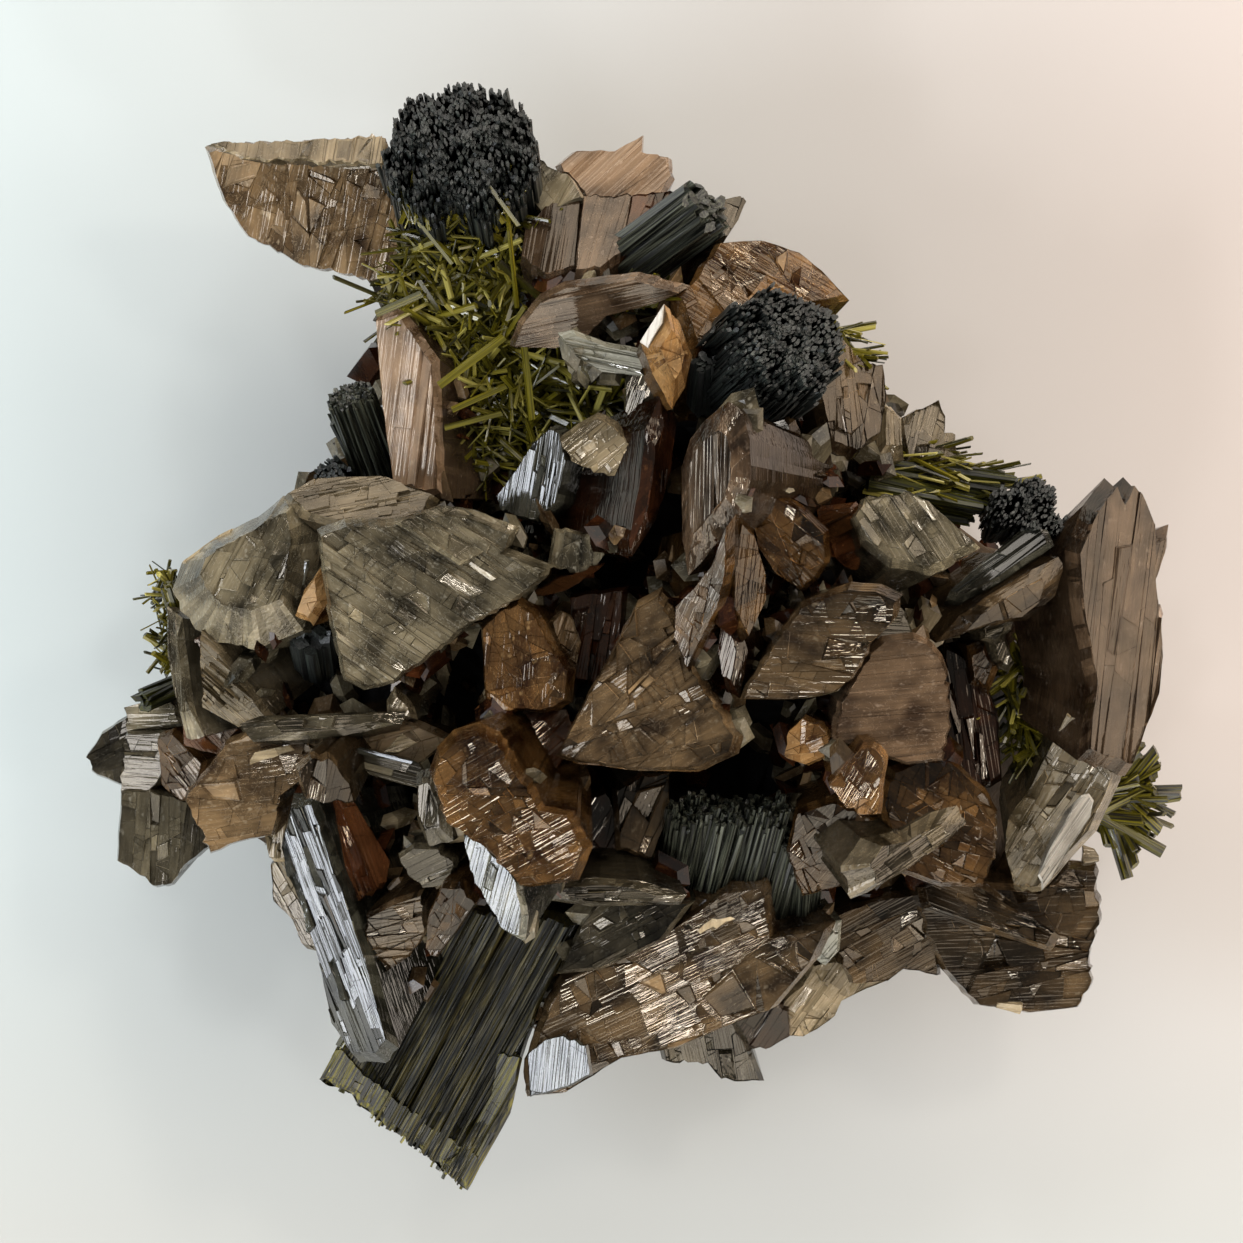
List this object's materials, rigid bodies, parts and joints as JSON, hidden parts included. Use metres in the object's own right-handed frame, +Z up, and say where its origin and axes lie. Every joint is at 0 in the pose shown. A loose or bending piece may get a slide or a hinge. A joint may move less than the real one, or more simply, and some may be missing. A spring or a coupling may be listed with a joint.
{
  "type": "axinite and epidote specimen",
  "caption": "Mineral specimen: intergrown axe-head axinite blades with dark green epidote knobs, columns and needles, cut off flat where it rests.",
  "frame": {"origin": "centre of the bounding box in plan, on the flat cut that the specimen rests on", "axes": "+Z up out of the crystal side, +Y toward the dark knob that stands furthest back, +X toward the needle spray"},
  "size_m": [0.1123, 0.1104, 0.0564],
  "materials": {
    "axinite": "clove-brown, translucent, striated faces with a vitreous lustre",
    "epidote_black": "black-green, fibrous, vitreous to dull",
    "epidote_olive": "olive-black, striated, vitreous",
    "epidote_needles": "yellow-green, translucent needles"
  },
  "bodies": {
    "root": {"axinite_cluster": "axinite", "epidote_barrel_small": "epidote_black", "epidote_block_left": "epidote_black", "epidote_column_left": "epidote_black", "epidote_column_top": "epidote_black", "epidote_cube_left": "epidote_black", "epidote_green_left": "epidote_olive", "epidote_knob_right": "epidote_black", "epidote_knob_right_top": "epidote_black", "epidote_knob_top_left": "epidote_black", "epidote_mass_low": "epidote_black", "epidote_needle_mat": "epidote_needles", "epidote_needle_spray": "epidote_needles", "epidote_needles_hollow": "epidote_needles", "epidote_plate_bottom": "epidote_olive", "epidote_rods_back": "epidote_olive", "epidote_tuft_left": "epidote_needles"}
  },
  "joints": []
}
